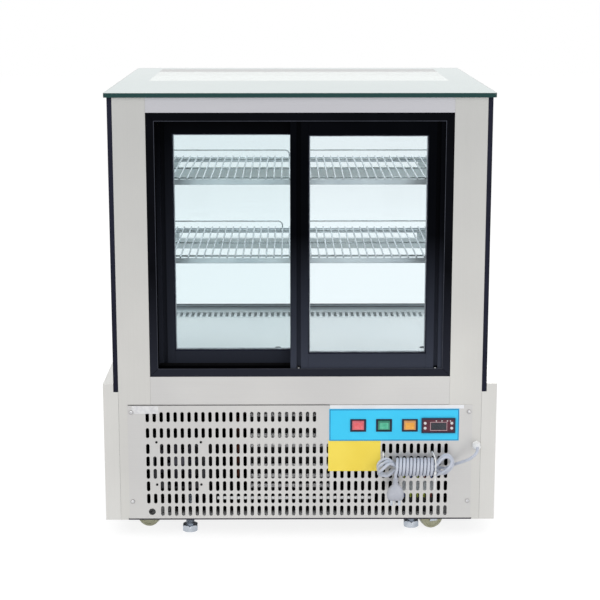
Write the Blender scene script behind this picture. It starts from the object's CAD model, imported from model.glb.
"""Studio scene of a refrigerated bakery display case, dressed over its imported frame.

Lengths are metres in the row frame: X right, +Y towards the customer, Z up. A name that ends in _mm is
in millimetres.
"""

import logging
import math
from dataclasses import dataclass, field, replace
from enum import Enum

import bmesh
import bpy
import numpy as np
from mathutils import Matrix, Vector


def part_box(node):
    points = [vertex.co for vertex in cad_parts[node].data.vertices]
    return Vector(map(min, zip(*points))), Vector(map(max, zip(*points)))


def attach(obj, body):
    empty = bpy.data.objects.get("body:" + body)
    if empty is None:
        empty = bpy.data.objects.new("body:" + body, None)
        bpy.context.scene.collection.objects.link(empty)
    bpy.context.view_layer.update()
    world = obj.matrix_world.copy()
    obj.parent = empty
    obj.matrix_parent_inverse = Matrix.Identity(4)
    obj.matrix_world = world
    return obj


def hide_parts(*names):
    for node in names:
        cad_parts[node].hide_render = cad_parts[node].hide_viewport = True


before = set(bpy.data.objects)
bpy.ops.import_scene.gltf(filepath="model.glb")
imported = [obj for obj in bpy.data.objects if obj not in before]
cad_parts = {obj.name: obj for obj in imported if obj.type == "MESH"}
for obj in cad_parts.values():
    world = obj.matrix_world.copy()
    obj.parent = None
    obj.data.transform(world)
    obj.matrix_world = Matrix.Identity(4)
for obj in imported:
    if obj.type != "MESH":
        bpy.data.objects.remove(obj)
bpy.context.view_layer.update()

LOG = logging.getLogger("display_case")
MM = 0.001
CASE = "case"
FULL_TURN = 2 * np.pi
WHITE = (1.0, 1.0, 1.0, 1.0)
# The row axes along the service side's face
FACE_AXES = [0, 2]
# Where most values of a noise lie, for gloss and, closer in, for clouds
NOISE_SPAN = {"From Min": 0.3, "From Max": 0.7}
CLOUD_SPAN = {"From Min": 0.35, "From Max": 0.65}
LEAST_ROUGHNESS = 0.02
WELD_MM = 0.002
MERGE_MM = 0.001
BEVEL_FROM = math.radians(50)
SHARP_FROM = math.radians(38)

Colour = tuple[float, float, float, float]
Pair = tuple[float, float]
Point = tuple[float, float, float]
Triple = tuple[float, float, float]
Area = tuple[float, float, float, float]
Block = tuple[Point, Point]
Tree = bpy.types.NodeTree
Socket = bpy.types.NodeSocket
Piece = bpy.types.Object


def linear(colour: str) -> Colour:
    """Turns an sRGB hex colour into the linear values that a shader takes.

    Args:
        colour: Six hex digits after a hash.

    Returns:
        Linear red, green and blue, with an alpha of one.
    """
    value = np.array([int(colour[i:i + 2], 16) for i in (1, 3, 5)]) / 255
    toe, curve = value / 12.92, ((value + 0.055) / 1.055) ** 2.4
    return (*np.where(value <= 0.04045, toe, curve).tolist(), 1.0)


def add_node(
    tree: Tree, kind: str, settings: dict | None = None, links: dict | None = None
) -> bpy.types.Node:
    """Adds one shader node with its settings and links.

    Args:
        tree: The tree that takes the node.
        kind: Blender's class name of the node.
        settings: Values by the name of a property, or the name or number of an input socket.
        links: Output sockets by the name or number of the input that they feed.

    Returns:
        The new node.
    """
    node = tree.nodes.new(kind)
    for name, value in (settings or {}).items():
        if isinstance(name, str) and hasattr(node, name):
            setattr(node, name, value)
        else:
            node.inputs[name].default_value = value
    for name, source in (links or {}).items():
        tree.links.new(source, node.inputs[name])
    return node


def blank_material(name: str) -> bpy.types.Material:
    """Makes a material with an empty node tree.

    Args:
        name: Name of the material.

    Returns:
        The new material.
    """
    material = bpy.data.materials.new(name)
    material.use_nodes = True
    material.node_tree.nodes.clear()
    return material


def add_object(name: str, data: bpy.types.ID) -> Piece:
    """Makes an object at the origin and links it into the scene.

    Args:
        name: Name of the object.
        data: The mesh, curve, lamp or camera that it shows.

    Returns:
        The new object.
    """
    made = bpy.data.objects.new(name, data)
    bpy.context.scene.collection.objects.link(made)
    return made


class Grain(Enum):
    """How a surface was made, as the stretch of its fine pattern along X, Y and Z."""

    BRUSHED_X = (0.012, 1.0, 1.0)
    BRUSHED_Z = (1.0, 1.0, 0.012)
    DRAWN_X = (0.05, 1.0, 1.0)
    EVEN = (1.0, 1.0, 1.0)


class Along(Enum):
    """The row axis along which a coating takes over."""

    Y = "Y"
    Z = "Z"


@dataclass(frozen=True)
class Coating:
    """A second tone that takes over along one axis of the row frame, from one place to another.

    A clear coating also lets light through, by its share of clearness.
    """

    colour: str
    axis: Along
    start_mm: float
    end_mm: float
    clear: float = 0.0

    def share(self, tree: Tree, place: Socket) -> Socket:
        """Works out how much of the coating covers each place: nothing at its start, all of it at its end.

        Args:
            tree: The tree that takes the nodes.
            place: Object coordinates.

        Returns:
            The share from zero to one.
        """
        along = add_node(tree, "ShaderNodeSeparateXYZ", None, {"Vector": place}).outputs[self.axis.value]
        return add_node(
            tree, "ShaderNodeMapRange", {"From Min": self.start_mm * MM, "From Max": self.end_mm * MM},
            {"Value": along}).outputs["Result"]


@dataclass(frozen=True)
class Lining:
    """The tone of faces that look towards the middle of a hollow piece."""

    colour: str
    middle_mm: Point

    def share(self, tree: Tree, place: Socket) -> Socket:
        """Tells the lined faces: there, the place from the middle and the normal have a negative product.

        Args:
            tree: The tree that takes the nodes.
            place: Object coordinates.

        Returns:
            One on a lined face, and zero elsewhere.
        """
        middle = tuple(v * MM for v in self.middle_mm)
        away = add_node(tree, "ShaderNodeVectorMath", {"operation": "SUBTRACT", 1: middle}, {0: place})
        normal = add_node(tree, "ShaderNodeNewGeometry").outputs["True Normal"]
        facing = add_node(
            tree, "ShaderNodeVectorMath", {"operation": "DOT_PRODUCT"},
            {0: away.outputs["Vector"], 1: normal})
        return add_node(
            tree, "ShaderNodeMath", {"operation": "LESS_THAN", 1: 0.0},
            {0: facing.outputs["Value"]}).outputs["Value"]


@dataclass(frozen=True)
class Surface:
    """What a piece is made of: a named material whose nodes each kind of surface lays."""

    name: str

    def build(self) -> bpy.types.Material:
        """Makes the surface's material on first use.

        Returns:
            The material.
        """
        if self.name not in bpy.data.materials:
            tree = blank_material(self.name).node_tree
            add_node(tree, "ShaderNodeOutputMaterial", None, {"Surface": self.lay(tree)})
        return bpy.data.materials[self.name]

    def lay(self, tree: Tree) -> Socket:
        """Lays the nodes and returns the shader's output; each kind of surface has its own."""
        raise NotImplementedError


@dataclass(frozen=True)
class Finish(Surface):
    """An opaque finish: two tones in soft clouds, with a fine grain in its gloss and relief.

    The grain is a noise stretched along the working direction. It drives roughness and bump, and the
    cloud noise mixes the two tones. Real brush lines, orange peel and moulding grain are finer than the
    sizes given here: they are drawn as coarse as they need to be to show.
    """

    colour: str
    shade: str
    roughness: float
    grain_mm: float
    relief_mm: float
    cloud_mm: float
    metallic: float = 0.0
    specular: float = 0.4
    coat: float = 0.0
    gloss_spread: float = 0.08
    grain: Grain = Grain.EVEN
    coating: Coating | None = None
    lining: Lining | None = None

    def lay(self, tree: Tree) -> Socket:
        """Lays the tones, the gloss and the relief over one principled shader.

        Args:
            tree: The tree that takes the nodes.

        Returns:
            The shader's output.
        """
        place = add_node(tree, "ShaderNodeTexCoord").outputs["Object"]
        stretched = add_node(tree, "ShaderNodeMapping", {"Scale": self.grain.value}, {"Vector": place})
        fine = add_node(
            tree, "ShaderNodeTexNoise", {"Scale": 1 / (self.grain_mm * MM), "Detail": 3.0},
            {"Vector": stretched.outputs["Vector"]}).outputs["Fac"]
        cloud = add_node(
            tree, "ShaderNodeTexNoise", {"Scale": 1 / (self.cloud_mm * MM), "Detail": 2.0}, {"Vector": place})
        clouded = add_node(tree, "ShaderNodeMapRange", CLOUD_SPAN, {"Value": cloud.outputs["Fac"]})
        tone = add_node(
            tree, "ShaderNodeMix", {"data_type": "RGBA", 6: linear(self.colour), 7: linear(self.shade)},
            {0: clouded.outputs["Result"]}).outputs[2]
        see_through = {}
        for cover in filter(None, (self.coating, self.lining)):
            share = cover.share(tree, place)
            tone = add_node(
                tree, "ShaderNodeMix", {"data_type": "RGBA", 7: linear(cover.colour)},
                {0: share, 6: tone}).outputs[2]
            if cover is self.coating and cover.clear:
                see_through["Alpha"] = add_node(
                    tree, "ShaderNodeMapRange", {"To Min": 1.0, "To Max": 1 - cover.clear},
                    {"Value": share}).outputs["Result"]
        gloss = add_node(
            tree, "ShaderNodeMapRange",
            {**NOISE_SPAN, "To Min": max(self.roughness - self.gloss_spread, LEAST_ROUGHNESS),
             "To Max": min(self.roughness + self.gloss_spread, 1.0)}, {"Value": fine})
        bump = add_node(
            tree, "ShaderNodeBump", {"Strength": 1.0, "Distance": self.relief_mm * MM}, {"Height": fine})
        return add_node(
            tree, "ShaderNodeBsdfPrincipled",
            {"Metallic": self.metallic, "Specular IOR Level": self.specular, "Coat Weight": self.coat},
            {"Base Color": tone, "Roughness": gloss.outputs["Result"], "Normal": bump.outputs["Normal"],
             **see_through}).outputs["BSDF"]


class PaneAxis(Enum):
    """The direction across a pane, through its two large faces."""

    X = (1.0, 0.0, 0.0)
    Y = (0.0, 1.0, 0.0)
    Z = (0.0, 0.0, 1.0)


@dataclass(frozen=True)
class PaneFinish(Surface):
    """Float glass: clear and faintly tinted through its faces, dark green where it is seen edge on.

    The share of a face that points along the pane's axis tells the large faces from the ground edges.
    Light isn't bent, so only the face where it enters mirrors it. A film of wiped dust varies the gloss.
    """

    axis: PaneAxis
    tint: str = "#FAFCFD"
    shine: float = 1.3
    edge: str = "#123B3A"
    edge_specular: float = 0.25
    edge_below: float = 0.5
    film_mm: float = 500 / 3
    haze: Pair = (0.015, 0.05)

    def lay(self, tree: Tree) -> Socket:
        """Lays a clear mirroring face and a ground edge, and picks one of them by the face's direction.

        Args:
            tree: The tree that takes the nodes.

        Returns:
            The shader's output.
        """
        place = add_node(tree, "ShaderNodeTexCoord").outputs["Object"]
        film = add_node(
            tree, "ShaderNodeTexNoise", {"Scale": 1 / (self.film_mm * MM), "Detail": 3.0}, {"Vector": place})
        haze = add_node(
            tree, "ShaderNodeMapRange", {**NOISE_SPAN, "To Min": self.haze[0], "To Max": self.haze[1]},
            {"Value": film.outputs["Fac"]}).outputs["Result"]
        geometry = add_node(tree, "ShaderNodeNewGeometry").outputs
        facing = add_node(
            tree, "ShaderNodeVectorMath", {"operation": "DOT_PRODUCT", 1: self.axis.value},
            {0: geometry["True Normal"]})
        across = add_node(tree, "ShaderNodeMath", {"operation": "ABSOLUTE"}, {0: facing.outputs["Value"]})
        is_edge = add_node(
            tree, "ShaderNodeMath", {"operation": "LESS_THAN", 1: self.edge_below},
            {0: across.outputs["Value"]})
        clear = add_node(tree, "ShaderNodeBsdfTransparent", {"Color": linear(self.tint)})
        gloss = add_node(tree, "ShaderNodeBsdfGlossy", {"Color": WHITE}, {"Roughness": haze})
        entering = add_node(
            tree, "ShaderNodeMath", {"operation": "SUBTRACT", 0: 1.0}, {1: geometry["Backfacing"]})
        fresnel = add_node(tree, "ShaderNodeFresnel", {"IOR": self.shine})
        mirror = add_node(
            tree, "ShaderNodeMath", {"operation": "MULTIPLY"},
            {0: fresnel.outputs["Fac"], 1: entering.outputs["Value"]})
        face = add_node(
            tree, "ShaderNodeMixShader", None,
            {0: mirror.outputs["Value"], 1: clear.outputs["BSDF"], 2: gloss.outputs["BSDF"]})
        ground = add_node(
            tree, "ShaderNodeBsdfPrincipled",
            {"Base Color": linear(self.edge), "Specular IOR Level": self.edge_specular}, {"Roughness": haze})
        whole = add_node(
            tree, "ShaderNodeMixShader", None,
            {0: is_edge.outputs["Value"], 1: face.outputs["Shader"], 2: ground.outputs["BSDF"]})
        return whole.outputs["Shader"]


# Each finish gives its two tones and its roughness, then the sizes of its grain, relief and clouds in mm.

# Satin stainless sheet, belt brushed: pale grey with long fine streaks, and a duller tone up at the lintel
STEEL_ALONG = Finish(
    "brushed stainless sheet along", "#D1D0CE", "#CAC9C8", 0.42, 2.4, 0.012, 260, metallic=0.85,
    gloss_spread=0.07, grain=Grain.BRUSHED_X, coating=Coating("#BCBCC1", Along.Z, 420, 990))
STEEL_UPRIGHT = replace(
    STEEL_ALONG, name="brushed stainless sheet upright", colour="#D5D4D0", shade="#CDCCC9",
    grain=Grain.BRUSHED_Z, coating=Coating("#BCBCBA", Along.Z, 380, 960))
# The same sheet folded round the base, lined with black felt inside the machine room
STEEL_LINED = replace(
    STEEL_UPRIGHT, name="brushed stainless sheet with felt lining", colour="#DBDAD7", shade="#D2D1CE",
    coating=None, lining=Lining("#0B0B0C", (0, 0, 260)))
# Galvanised floor of the machine room: grey along its rear edge, under black dust further in
GALVANISED = Finish(
    "galvanised steel sheet", "#F3F4F5", "#E2E4E6", 0.5, 9, 0.01, 30, specular=0.5,
    coating=Coating("#08080A", Along.Y, -373, -345))
# Bright zinc on turned and pressed steel: a cool grey with bright glints
ZINC = Finish(
    "bright zinc plated steel", "#C6CCD4", "#AEB6C0", 0.26, 3, 0.02, 18, metallic=1.0, specular=0.5,
    gloss_spread=0.1)
# Pan heads, bright in patches, on dull pressed washers
SCREW_BRIGHT = Finish(
    "polished steel screw", "#F1F1EF", "#B9BAC0", 0.2, 2, 0.05, 3, metallic=0.9, specular=0.5)
WASHER_GREY = Finish("dull pressed washer", "#B4B3B2", "#A2A1A2", 0.45, 2, 0.03, 6, metallic=0.8)
# Powder coat on extrusion: a blue black with a faint orange peel, greyed by dust towards each foot
POWDER_BLACK = Finish(
    "black powder coated surround", "#05060A", "#07080E", 0.42, 1.6, 0.02, 90, specular=0.03,
    gloss_spread=0.1, coating=Coating("#262831", Along.Z, 640, 405), lining=Lining("#020204", (0, -380, 695)))
POWDER_LEFT = Finish(
    "black powder coated left sash", "#020306", "#040509", 0.42, 1.6, 0.02, 90, specular=0.02,
    gloss_spread=0.1, coating=Coating("#282B34", Along.Z, 940, 410))
POWDER_RIGHT = replace(
    POWDER_LEFT, name="black powder coated right sash", coating=Coating("#3A3E4A", Along.Z, 720, 410))
# Bare edge of the powder coat, where a fold has worn to slate grey
WORN_EDGE = Finish(
    "worn powder coat edge", "#3A3D47", "#30333C", 0.4, 1.6, 0.02, 40, metallic=0.1, specular=0.2)
# Brush pile: matt black, in fine upright hairs
PILE_BLACK = Finish(
    "black brush pile", "#050507", "#0B0B0E", 0.9, 0.8, 0.2, 20, specular=0.1, grain=Grain.BRUSHED_Z)
# Mill finish extrusion with drawn lines along its length, and rolled spacer strip: a dull silver
MILL_ALUMINIUM = Finish(
    "mill finish aluminium", "#9EA3AA", "#868B93", 0.35, 1.5, 0.01, 60, metallic=1.0, specular=0.5,
    grain=Grain.DRAWN_X)
SPACER_ALUMINIUM = Finish(
    "rolled aluminium spacer", "#A9AFB6", "#8D949C", 0.4, 2.5, 0.02, 40, metallic=0.9, specular=0.5)
# Cured silicone: navy black and matt, and clear between the panes along the front glass
EDGE_SILICONE = Finish("navy black silicone", "#17192B", "#121424", 0.55, 3, 0.03, 60, specular=0.15)
PANE_SEAL = replace(
    EDGE_SILICONE, name="silicone pane seal", coating=Coating("#F2F6F7", Along.Y, 345, 362, clear=0.88))
# Sealant and edge trim on the slotted panel: soft dark lines without shine
SEAM_SHADE = Finish("dark seam sealant", "#3C3C3E", "#2E2E31", 0.7, 2, 0.03, 30, specular=0.2)
TRIM_NAVY = Finish("navy edge trim", "#35333F", "#2A2934", 0.5, 2, 0.03, 60, specular=0.3)
# Stove enamel on the deck: pale blue white with a soft gloss, and a dull upstand on the grille
DECK_ENAMEL = Finish(
    "pale stove enamel", "#F7F9FA", "#F1F4F6", 0.35, 2, 0.008, 200, specular=0.5, gloss_spread=0.06)
GRILLE_ENAMEL = Finish(
    "pale stove enamel with a dull upstand", "#F0F4F6", "#E9EEF1", 0.4, 2, 0.008, 200, gloss_spread=0.06,
    coating=Coating("#8D979E", Along.Z, 367, 375))
# Pressed strainer: a dark grey dish with a faint metal glint
DRAIN_SHADE = Finish("dark drain strainer", "#4A5258", "#3C4348", 0.5, 1, 0.05, 6, metallic=0.3)
# Formed liner: pale above, with a bitumen coat on its underside
LINER_PLASTIC = Finish(
    "vacuum formed liner", "#E6ECEE", "#DDE5E8", 0.45, 2, 0.02, 120, specular=0.5,
    lining=Lining("#0B0B0C", (0, 0, -5000)))
# Chromed wire, bright with dark reflections in its curve, on bars with long rolling lines
CHROME_WIRE = Finish(
    "chrome plated wire", "#BCC3C8", "#A3ABB0", 0.25, 6, 0.006, 70, metallic=1.0, specular=0.5,
    gloss_spread=0.06)
SHELF_BAR = Finish(
    "bright rolled steel bar", "#CBD4DA", "#B8C2CA", 0.32, 2, 0.01, 90, metallic=0.9, specular=0.5,
    grain=Grain.BRUSHED_X)
# Extruded opal acrylic: milky white with a soft gloss
OPAL = Finish("opal light diffuser", "#EEF4F6", "#E4ECEF", 0.35, 2, 0.006, 80, specular=0.5)
# Sprayed enamel on the machinery: deep black with a soft gloss
MACHINE_ENAMEL = Finish("black machine enamel", "#0E0F11", "#15161A", 0.35, 2.5, 0.03, 40)
# Fin stock darkened by dust behind bright bare tubes
FIN_STOCK = Finish(
    "aluminium fin stock", "#FDFDFE", "#F3F3F6", 0.4, 3, 0.05, 25, specular=0.25,
    coating=Coating("#08080A", Along.Y, -304.5, -303.0))
# Drawn copper: a warm red metal, aged to brown and black on the riser
COPPER = Finish("drawn copper pipe", "#B8663F", "#8E4A2C", 0.34, 4, 0.01, 25, metallic=1.0, specular=0.5)
COPPER_AGED = Finish("aged copper pipe", "#5E3224", "#1C1312", 0.4, 4, 0.01, 14, metallic=0.8)
# Moulded fan parts: matt black with a fine texture, and slate blades
BLACK_PLASTIC = Finish("black moulded plastic", "#101116", "#16181D", 0.5, 1.2, 0.03, 30, specular=0.35)
FAN_PLASTIC = Finish("slate moulded fan blade", "#3B3A48", "#2C2C38", 0.4, 1.2, 0.03, 30, specular=0.45)
# Black oxide on steel: dull black with a trace of metal
BLACK_OXIDE = Finish("black oxide screw", "#0D0E11", "#15161A", 0.5, 1, 0.02, 8, metallic=0.4)
# Printed film on sheet: a clear sky blue under a thin gloss, with a dark blue rim
FILM_BLUE = Finish(
    "printed blue film", "#3BD1FD", "#36CBF8", 0.35, 2, 0.008, 120, specular=0.35, coat=0.1,
    gloss_spread=0.05)
FILM_RIM = Finish("printed dark blue rim", "#1C79B4", "#1871AA", 0.35, 2, 0.008, 60, specular=0.35)
# Moulded switch bezels: navy with a soft gloss
BEZEL_NAVY = Finish("navy moulded bezel", "#141A33", "#1D2440", 0.4, 1, 0.02, 14)
# Translucent switch mouldings: milky colours under a clear skin, brighter where the lamp window is
LENS_RED = Finish(
    "red switch moulding", "#D9707A", "#CF6570", 0.3, 1.5, 0.02, 9, coat=0.2, gloss_spread=0.05)
LENS_GREEN = replace(LENS_RED, name="green switch moulding", colour="#3F8F78", shade="#37856E")
LENS_AMBER = replace(LENS_RED, name="amber switch moulding", colour="#D9A06A", shade="#D0965F")
WINDOW_RED = Finish(
    "red lamp window", "#EE6268", "#F07A80", 0.25, 1.2, 0.05, 6, coat=0.2, gloss_spread=0.05)
WINDOW_GREEN = replace(WINDOW_RED, name="green lamp window", colour="#45B790", shade="#62C6A3")
WINDOW_AMBER = replace(WINDOW_RED, name="amber lamp window", colour="#F7A633", shade="#F9B450")
# Controller mouldings: a glossy maroon face in a navy frame, a smoked window, pale keys and a printed line
CONTROLLER_MAROON = Finish(
    "maroon controller face", "#5B1A2F", "#4C1226", 0.35, 1, 0.01, 20, coat=0.15, gloss_spread=0.05)
CONTROLLER_FRAME = Finish("dark moulded controller frame", "#1B1C38", "#24243F", 0.4, 1, 0.02, 14)
DISPLAY_GREY = Finish("smoked display window", "#33373F", "#2B2F37", 0.25, 2, 0.005, 15)
KEY_GREY = Finish("pale moulded key", "#E4E1E2", "#D6D3D5", 0.4, 0.8, 0.02, 4, specular=0.5)
PRINT_WHITE = Finish("pale printed line", "#D3B6BC", "#C8AAB1", 0.5, 0.8, 0.005, 6, specular=0.3)
# Moulded nylon: milky white with a soft sheen, a greyer terminal block, and cream wheels with worn clouds
WHITE_NYLON = Finish("white moulded nylon", "#F0F1F1", "#E6E8EA", 0.38, 1.5, 0.02, 10, specular=0.5)
TERMINAL_GREY = Finish("pale moulded terminal block", "#D9DEE2", "#C2C9CF", 0.4, 1.5, 0.03, 8, specular=0.5)
CREAM_NYLON = Finish("cream moulded nylon", "#DEDDBF", "#D2D1B0", 0.38, 2, 0.05, 22, specular=0.5)
# Soft insulating sleeves: plain colours without shine
SLEEVE_GREEN = Finish("yellow green sleeve", "#E4E85A", "#B4CF4E", 0.5, 1.5, 0.03, 5)
SLEEVE_BLUE = Finish("blue sleeve", "#5C74B8", "#4A60A0", 0.5, 1.5, 0.03, 9)
SLEEVE_RED = Finish("red brown sleeve", "#9A4A3C", "#803A30", 0.5, 1.5, 0.03, 9)
# Flexible sheath with a faint extrusion ripple, and a plug moulded on it: cool greys with a soft gloss
CORD_SHEATH = Finish("grey sheath", "#CACFDB", "#BFC4D1", 0.42, 2, 0.05, 40)
PLUG_GREY = Finish("grey moulded plug", "#BBBEC7", "#B0B3BD", 0.42, 1.2, 0.04, 25)
# Label film, crepe tape and protective film on the panel: clean yellow, crinkled white and smooth white
LABEL_YELLOW = Finish("yellow label film", "#FBE25A", "#F7DC50", 0.4, 2.5, 0.02, 70)
TAPE_WHITE = Finish("white tape", "#E2E2E3", "#D3D3D6", 0.5, 3, 0.3, 9, specular=0.3, grain=Grain.BRUSHED_X)
FILM_WHITE = Finish("white protective film", "#EBECF0", "#E2E3E8", 0.4, 3, 0.02, 60)
# Ceramic print on the back of the top glass: a pale cool grey without a gloss of its own
GLASS_PRINT = Finish(
    "pale ceramic glass print", "#B0C6CA", "#A9C0C5", 0.5, 2, 0.004, 300, specular=0.0, gloss_spread=0.05)

# Float glass: clear with a cool tint, clearer in the doors, and polished to a stronger mirror on the top
SIDE_PANE = PaneFinish("clear float side pane", PaneAxis.X)
FRONT_PANE = PaneFinish("clear float front pane", PaneAxis.Y)
LEFT_PANE = PaneFinish("clear float left door pane", PaneAxis.Y, "#FBFDFD")
RIGHT_PANE = PaneFinish("low iron right door pane", PaneAxis.Y, "#FDFEFE")
TOP_PANE = PaneFinish("polished top glass", PaneAxis.Z, "#F8FBF7", 1.6)


def corners(node: str) -> tuple[np.ndarray, np.ndarray]:
    """Returns the lowest and highest corner of a CAD node as arrays."""
    low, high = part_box(node)
    return np.array(low), np.array(high)


def dress(finish: Surface, *nodes: str) -> None:
    """Gives CAD nodes their finish.

    Args:
        finish: What the nodes are made of.
        nodes: Names of CAD nodes.
    """
    material = finish.build()
    for name in nodes:
        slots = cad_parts[name].data.materials
        slots.clear()
        slots.append(material)
        LOG.info("dressed %s in %s", name, material.name)


def ease_edges(width_mm: float, *nodes: str) -> None:
    """Breaks the sharp edges of CAD nodes with modifiers, so that folds and corners catch light.

    Args:
        width_mm: Width of the broken edge.
        nodes: Names of CAD nodes.
    """
    for name in nodes:
        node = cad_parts[name]
        weld = node.modifiers.new("close seams", "WELD")
        weld.merge_threshold = WELD_MM * MM
        bevel = node.modifiers.new("broken edges", "BEVEL")
        bevel.width = width_mm * MM
        bevel.segments = 2
        bevel.limit_method = "ANGLE"
        bevel.angle_limit = BEVEL_FROM


def grid_piece(
    name: str, points: np.ndarray, finish: Surface, body: str = CASE,
    ring: bool = False, smooth: bool = True
) -> Piece:
    """Makes a closed piece from a grid of points, and lets it ride on a body.

    Neighbouring points make quads. Rows close round on themselves, and the first and last row are
    capped, or joined to each other as a ring.

    Args:
        name: Name of the piece.
        points: Array of rows by columns by three.
        finish: What the piece is made of.
        body: The CAD body that carries it.
        ring: Whether the last row joins the first.
        smooth: Whether faces are shaded smooth across gentle angles.

    Returns:
        The new piece.
    """
    index = np.arange(points.shape[0] * points.shape[1]).reshape(points.shape[:2])
    caps = [] if ring else [index[0].tolist(), index[-1].tolist()]
    index = np.hstack([index, index[:, :1]])
    if ring:
        index = np.vstack([index, index[:1]])
    quads = np.stack([index[:-1, :-1], index[1:, :-1], index[1:, 1:], index[:-1, 1:]], -1).reshape(-1, 4)
    mesh = bpy.data.meshes.new(name)
    mesh.from_pydata(points.reshape(-1, 3).tolist(), [], quads.tolist() + caps)
    shell = bmesh.new()
    shell.from_mesh(mesh)
    bmesh.ops.remove_doubles(shell, verts=shell.verts, dist=MERGE_MM * MM)
    bmesh.ops.recalc_face_normals(shell, faces=shell.faces)
    shell.to_mesh(mesh)
    shell.free()
    if smooth:
        mesh.shade_smooth()
        mesh.set_sharp_from_angle(angle=SHARP_FROM)
    piece = add_object(name, mesh)
    mesh.materials.append(finish.build())
    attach(piece, body)
    LOG.info("made %s on %s", name, body)
    return piece


def rounded_box(low: Point, high: Point, radius: float, steps: int = 3) -> np.ndarray:
    """Works out a box with rounded edges.

    A point is the corner of an inner box plus the radius along a direction on the sphere, with the
    corner picked by the direction's octant.

    Args:
        low: Lowest corner.
        high: Highest corner.
        radius: Radius of the edges.
        steps: Steps along each quarter turn.

    Returns:
        Grid of latitudes by longitudes.
    """
    low, high = np.array(low), np.array(high)
    centre, core = (low + high) / 2, (high - low) / 2 - radius
    quarter = np.linspace(0, np.pi / 2, steps + 1)
    turn = np.concatenate([quarter + k * np.pi / 2 for k in range(4)])
    tilt = np.concatenate([quarter - np.pi / 2, quarter])
    side = np.repeat([[1, 1], [-1, 1], [-1, -1], [1, -1]], steps + 1, axis=0)
    level = np.repeat([-1, 1], steps + 1)
    tilt, turn = np.meshgrid(tilt, turn, indexing="ij")
    return np.stack([
        centre[0] + core[0] * side[:, 0] + radius * np.cos(tilt) * np.cos(turn),
        centre[1] + core[1] * side[:, 1] + radius * np.cos(tilt) * np.sin(turn),
        centre[2] + core[2] * level[:, None] + radius * np.sin(tilt)], -1)


class Axis(Enum):
    """Axis of a turned piece, as the row axes that stand for its two radial directions and its length."""

    Y = (2, 0, 1)
    Z = (0, 1, 2)


def turn_steps(steps: int) -> np.ndarray:
    """Returns the angles of a full turn in even steps, without its end."""
    return np.linspace(0, FULL_TURN, steps, endpoint=False)


def carried_round(reach_mm: np.ndarray, level_mm: np.ndarray, centre: Point, axis: Axis) -> np.ndarray:
    """Works out a shape round an axis: a point is its radius along the turn's cosine and sine, at its level.

    Args:
        reach_mm: Radii, a row for each level and a column for each step of the turn.
        level_mm: Place of each row along the axis.
        centre: Where level zero lies.
        axis: The axis of turning.

    Returns:
        Grid of levels by turn.
    """
    turn = turn_steps(reach_mm.shape[1])
    parts = np.stack(np.broadcast_arrays(
        reach_mm * np.cos(turn), reach_mm * np.sin(turn), level_mm[:, None]), -1) * MM
    placed = np.empty_like(parts)
    placed[..., list(axis.value)] = parts
    return placed + np.array(centre)


def turned(profile_mm: list[Pair], centre: Point, axis: Axis, steps: int) -> np.ndarray:
    """Works out a turned shape: a profile of radius and level carried round an axis.

    Args:
        profile_mm: Radius and level of each profile point.
        centre: Where level zero lies.
        axis: The axis of turning.
        steps: Points round the axis.

    Returns:
        Grid of profile points by turn.
    """
    radius, level = np.array(profile_mm).T
    return carried_round(np.repeat(radius[:, None], steps, 1), level, centre, axis)


def hexagon(half_flats: float, steps: int, first: float) -> np.ndarray:
    """Works out a hexagon's radius: half its width over flats, over the cosine from the nearest flat.

    Args:
        half_flats: Half the width over flats.
        steps: Points round the axis.
        first: Angle from a corner to the first point.

    Returns:
        A radius for each step of the turn.
    """
    return half_flats / np.cos((turn_steps(steps) + first) % (np.pi / 3) - np.pi / 6)


def band(outer: np.ndarray, inner: np.ndarray, levels: Pair) -> np.ndarray:
    """Works out a flat rectangular frame: a four point section carried round four corners.

    Args:
        outer: Low and high corner of the outer edge in the frame's plane, as two pairs.
        inner: Low and high corner of the inner edge, as two pairs.
        levels: The two levels across the frame's plane.

    Returns:
        Grid of corners by section points, with the level as the third value.
    """
    pick = np.array([[0, 0], [1, 0], [1, 1], [0, 1]])
    rims = [np.array(edge)[pick, [0, 1]] for edge in (outer, inner)]
    section = [(rims[0], levels[0]), (rims[0], levels[1]), (rims[1], levels[1]), (rims[1], levels[0])]
    return np.stack([np.column_stack([rim, np.full(4, level)]) for rim, level in section], 1)


def rim_piece(
    name: str, finish: Surface, low: np.ndarray, high: np.ndarray, face: float, reach_mm: Pair,
    levels_mm: Pair, body: str = CASE
) -> None:
    """Makes a thin rim along the edges of a rectangle that stands across Y.

    Args:
        name: Name of the piece.
        finish: What the rim is made of.
        low: Low corner of the rectangle, as X and Z.
        high: High corner of the rectangle, as X and Z.
        face: Where the rectangle stands along Y.
        reach_mm: How far the rim reaches out of the rectangle, and how far into it.
        levels_mm: How far its two faces stand from the rectangle, along Y.
        body: The CAD body that carries it.
    """
    out, into = (v * MM for v in reach_mm)
    near, far = (face + v * MM for v in levels_mm)
    grid = band((low - out, high + out), (low + into, high - into), (near, far))
    grid_piece(name, grid[..., [0, 2, 1]], finish, body, ring=True, smooth=False)


def ease(share: np.ndarray) -> np.ndarray:
    """Returns a smooth step from zero to one: three squares less two cubes of the clipped share."""
    part = np.clip(share, 0, 1)
    return part**2 * (3 - 2 * part)


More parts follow.
